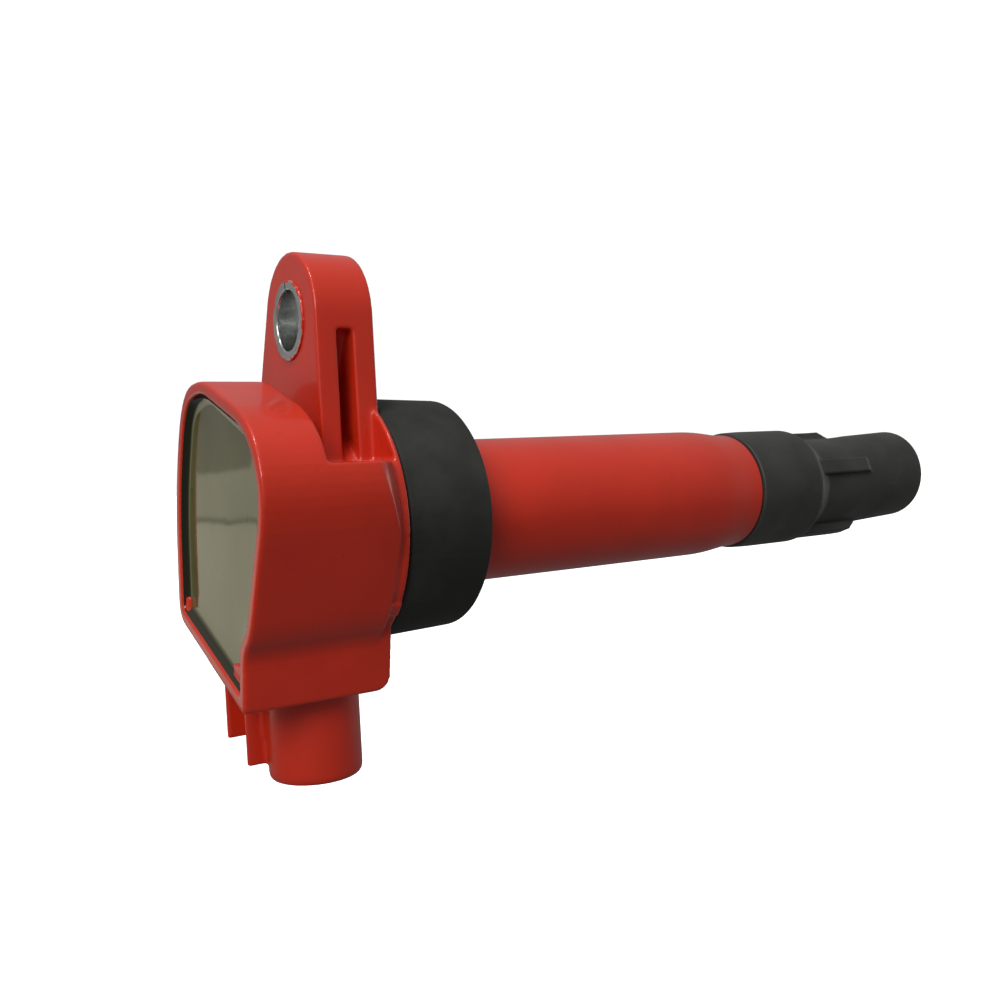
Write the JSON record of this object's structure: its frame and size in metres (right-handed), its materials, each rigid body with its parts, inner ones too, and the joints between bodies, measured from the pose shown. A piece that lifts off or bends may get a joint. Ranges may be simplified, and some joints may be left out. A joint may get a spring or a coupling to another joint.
{
  "type": "ignition coil",
  "caption": "Pencil ignition coil with a potted red head, bolt ear, downward connector, seal collar and ribbed rubber plug boot.",
  "frame": {"origin": "on the tube's axis, in the plane of the ear bushing's boot-side seat face", "axes": "+X along the tube from the head to the spark plug boot, +Z from the tube to the mounting ear, the connector opens towards -Z"},
  "size_m": [0.1423, 0.04, 0.0737],
  "materials": {
    "red_paint": "satin red paint over moulded plastic",
    "red_tube": "satin red paint over moulded plastic",
    "zinc_steel": "zinc plated, rolled",
    "potting_resin": "olive epoxy, glossy",
    "tin_plate": "tin plated",
    "black_plastic": "moulded",
    "module_resin": "moulded resin",
    "aluminium_plate": "stamped",
    "copper_wire": "enamelled copper",
    "fine_copper": "enamelled copper, very fine",
    "core_steel": "silicon steel sheet",
    "magnet": "sintered",
    "cushion_foam": "foam rubber",
    "bobbin_plastic": "moulded",
    "seal_rubber": "matt black rubber",
    "brass": "drawn",
    "ceramic": "unglazed ceramic",
    "spring_steel": "bright stainless wire",
    "boot_rubber": "black silicone rubber"
  },
  "bodies": {
    "coil": {"head_housing": "red_paint", "ear_bushing": "zinc_steel", "potting_fill": "potting_resin", "terminal_supply": "tin_plate", "terminal_trigger": "tin_plate", "terminal_ground": "tin_plate", "terminal_carrier": "black_plastic", "igniter_module": "module_resin", "heat_spreader": "aluminium_plate", "blocking_diode": "module_resin", "primary_lead_start": "copper_wire", "primary_lead_end": "copper_wire", "centre_core": "core_steel", "head_magnet": "magnet", "tip_magnet": "magnet", "head_cushion": "cushion_foam", "tip_cushion": "cushion_foam", "secondary_bobbin": "bobbin_plastic", "secondary_winding": "fine_copper", "primary_bobbin": "bobbin_plastic", "primary_winding": "copper_wire", "outer_core": "core_steel", "case_tube": "red_tube", "high_voltage_cup": "brass", "suppression_resistor": "ceramic", "nose_sleeve": "black_plastic"},
    "seal": {"seal_collar": "seal_rubber"},
    "boot": {"plug_boot": "boot_rubber"},
    "spring": {"contact_spring": "spring_steel"}
  },
  "joints": [
    {"name": "boot_pull", "type": "slide", "parent": "coil", "child": "boot", "axis": [1, 0, 0], "range_m": [0, 0.04]},
    {"name": "seal_slide", "type": "slide", "parent": "coil", "child": "seal", "axis": [1, 0, 0], "range_m": [0, 0.03]},
    {"name": "spring_press", "type": "slide", "parent": "coil", "child": "spring", "axis": [-1, 0, 0], "range_m": [0, 0.006], "stiffness_N_per_m": 400, "deforming": ["contact_spring"]}
  ]
}
